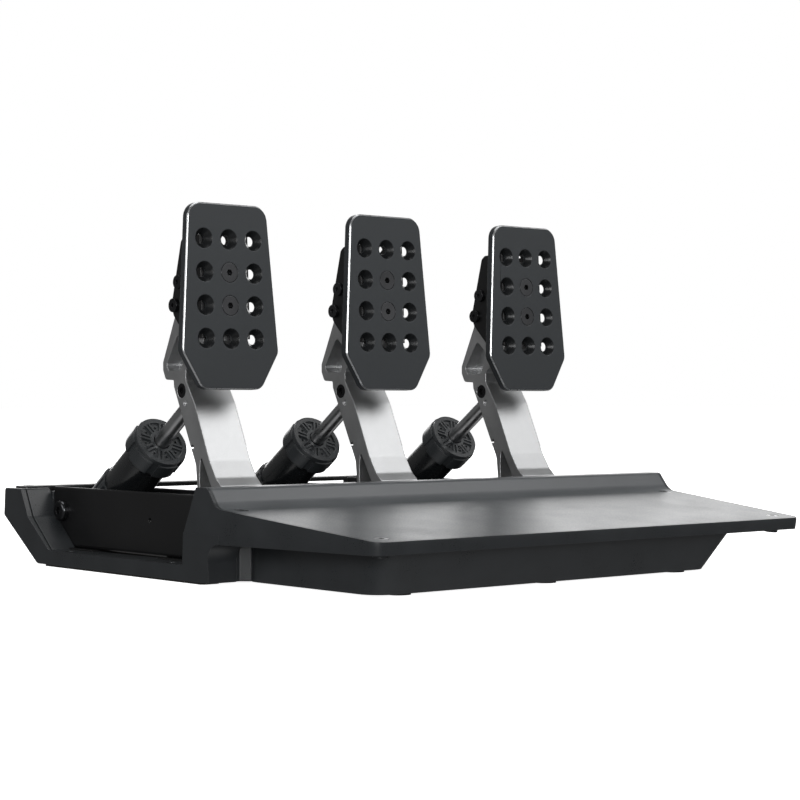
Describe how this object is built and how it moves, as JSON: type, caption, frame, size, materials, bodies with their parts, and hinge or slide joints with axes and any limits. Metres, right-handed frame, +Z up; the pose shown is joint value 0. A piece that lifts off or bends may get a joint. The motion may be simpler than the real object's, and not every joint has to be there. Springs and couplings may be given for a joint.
{
  "type": "sim racing pedal set",
  "caption": "Sim racing pedal set with sprung clutch, brake and throttle arms, perforated face plates, inclined damper cartridges and a broad sloping heel rest.",
  "frame": {"origin": "on the floor, in the middle of the overall footprint", "axes": "+X to the driver's right, +Y away from the driver, +Z up; the three pedals stand in a row along X and swing forward towards +Y"},
  "size_m": [0.403, 0.385, 0.2359],
  "materials": {
    "shell_plastic": "satin",
    "frame_plastic": "satin",
    "heel_sheet": "satin",
    "pad_rubber": "matte",
    "sheet_steel": "satin",
    "arm_aluminium": "satin",
    "face_aluminium": "satin",
    "bracket_steel": "satin",
    "screw_steel": "satin",
    "rod_steel": "polished",
    "axle_steel": "satin",
    "bush_bronze": "satin",
    "tube_paint": "gloss",
    "cap_plastic": "satin",
    "ring_plastic": "satin",
    "piston_plastic": "satin",
    "spring_rubber": "matte",
    "box_plastic": "matte",
    "board_laminate": "satin"
  },
  "bodies": {
    "base": {"heel_rest_shell": "shell_plastic", "heel_plate": "heel_sheet", "heel_plate_screws": "screw_steel", "left_side_frame": "frame_plastic", "right_side_frame": "frame_plastic", "floor_pads": "pad_rubber", "front_crossbeam": "sheet_steel", "rear_crossbeam": "sheet_steel", "rear_crossbar": "sheet_steel", "crossbar_screws": "screw_steel", "channel_screws": "screw_steel", "channel_bolts": "screw_steel", "hinge_axles": "axle_steel", "foot_axles": "axle_steel", "control_box": "box_plastic", "control_box_lid": "box_plastic", "control_board": "board_laminate", "clutch_channel": "sheet_steel", "clutch_foot_bracket": "sheet_steel", "brake_channel": "sheet_steel", "brake_foot_bracket": "sheet_steel", "throttle_channel": "sheet_steel", "throttle_foot_bracket": "sheet_steel"},
    "clutch_pedal": {"clutch_arm": "arm_aluminium", "clutch_hinge_bushes": "bush_bronze", "clutch_face_bracket": "bracket_steel", "clutch_face_plate": "face_aluminium", "clutch_face_screws": "screw_steel", "clutch_rod_pin": "rod_steel"},
    "clutch_damper": {"clutch_tube": "tube_paint", "clutch_preload_ring": "ring_plastic", "clutch_cap": "cap_plastic", "clutch_spring_stack": "spring_rubber"},
    "clutch_push_rod": {"clutch_rod": "rod_steel", "clutch_piston": "piston_plastic"},
    "brake_pedal": {"brake_arm": "arm_aluminium", "brake_hinge_bushes": "bush_bronze", "brake_face_bracket": "bracket_steel", "brake_face_plate": "face_aluminium", "brake_face_screws": "screw_steel", "brake_rod_pin": "rod_steel"},
    "brake_damper": {"brake_tube": "tube_paint", "brake_preload_ring": "ring_plastic", "brake_cap": "cap_plastic", "brake_spring_stack": "spring_rubber"},
    "brake_push_rod": {"brake_rod": "rod_steel", "brake_piston": "piston_plastic"},
    "throttle_pedal": {"throttle_arm": "arm_aluminium", "throttle_hinge_bushes": "bush_bronze", "throttle_face_bracket": "bracket_steel", "throttle_face_plate": "face_aluminium", "throttle_face_screws": "screw_steel", "throttle_rod_pin": "rod_steel"},
    "throttle_damper": {"throttle_tube": "tube_paint", "throttle_preload_ring": "ring_plastic", "throttle_cap": "cap_plastic", "throttle_spring_stack": "spring_rubber"},
    "throttle_push_rod": {"throttle_rod": "rod_steel", "throttle_piston": "piston_plastic"}
  },
  "joints": [
    {"name": "clutch_pedal_swing", "type": "hinge", "parent": "base", "child": "clutch_pedal", "pos_m": [-0.158, -0.016, 0.027], "axis": [-1, 0, 0], "range_deg": [0, 12], "stiffness_Nm_per_rad": 25, "springref_deg": -6.88},
    {"name": "clutch_damper_swing", "type": "hinge", "parent": "base", "child": "clutch_damper", "pos_m": [-0.158, 0.138, 0.03], "axis": [-1, 0, 0], "range_deg": [0, 1.75]},
    {"name": "clutch_rod_slide", "type": "slide", "parent": "clutch_damper", "child": "clutch_push_rod", "axis": [0, 0.81, -0.5864], "range_m": [0, 0.0198], "deforming": ["clutch_spring_stack"]},
    {"name": "brake_pedal_swing", "type": "hinge", "parent": "base", "child": "brake_pedal", "pos_m": [-0.028, -0.016, 0.027], "axis": [-1, 0, 0], "range_deg": [0, 8], "stiffness_Nm_per_rad": 60, "springref_deg": -3.44},
    {"name": "brake_damper_swing", "type": "hinge", "parent": "base", "child": "brake_damper", "pos_m": [-0.028, 0.138, 0.03], "axis": [-1, 0, 0], "range_deg": [0, 1.3]},
    {"name": "brake_rod_slide", "type": "slide", "parent": "brake_damper", "child": "brake_push_rod", "axis": [0, 0.81, -0.5864], "range_m": [0, 0.0134], "deforming": ["brake_spring_stack"]},
    {"name": "throttle_pedal_swing", "type": "hinge", "parent": "base", "child": "throttle_pedal", "pos_m": [0.102, -0.016, 0.027], "axis": [-1, 0, 0], "range_deg": [0, 12], "stiffness_Nm_per_rad": 16, "springref_deg": -8.02},
    {"name": "throttle_damper_swing", "type": "hinge", "parent": "base", "child": "throttle_damper", "pos_m": [0.102, 0.138, 0.03], "axis": [-1, 0, 0], "range_deg": [0, 1.75]},
    {"name": "throttle_rod_slide", "type": "slide", "parent": "throttle_damper", "child": "throttle_push_rod", "axis": [0, 0.81, -0.5864], "range_m": [0, 0.0198], "deforming": ["throttle_spring_stack"]}
  ],
  "couplings": [
    {"joint": "clutch_damper_swing", "follows": "clutch_pedal_swing", "ratio": 0.14264},
    {"joint": "clutch_rod_slide", "follows": "clutch_pedal_swing", "m_per_rad": 0.094377},
    {"joint": "brake_damper_swing", "follows": "brake_pedal_swing", "ratio": 0.15668},
    {"joint": "brake_rod_slide", "follows": "brake_pedal_swing", "m_per_rad": 0.093899},
    {"joint": "throttle_damper_swing", "follows": "throttle_pedal_swing", "ratio": 0.14264},
    {"joint": "throttle_rod_slide", "follows": "throttle_pedal_swing", "m_per_rad": 0.094377}
  ]
}
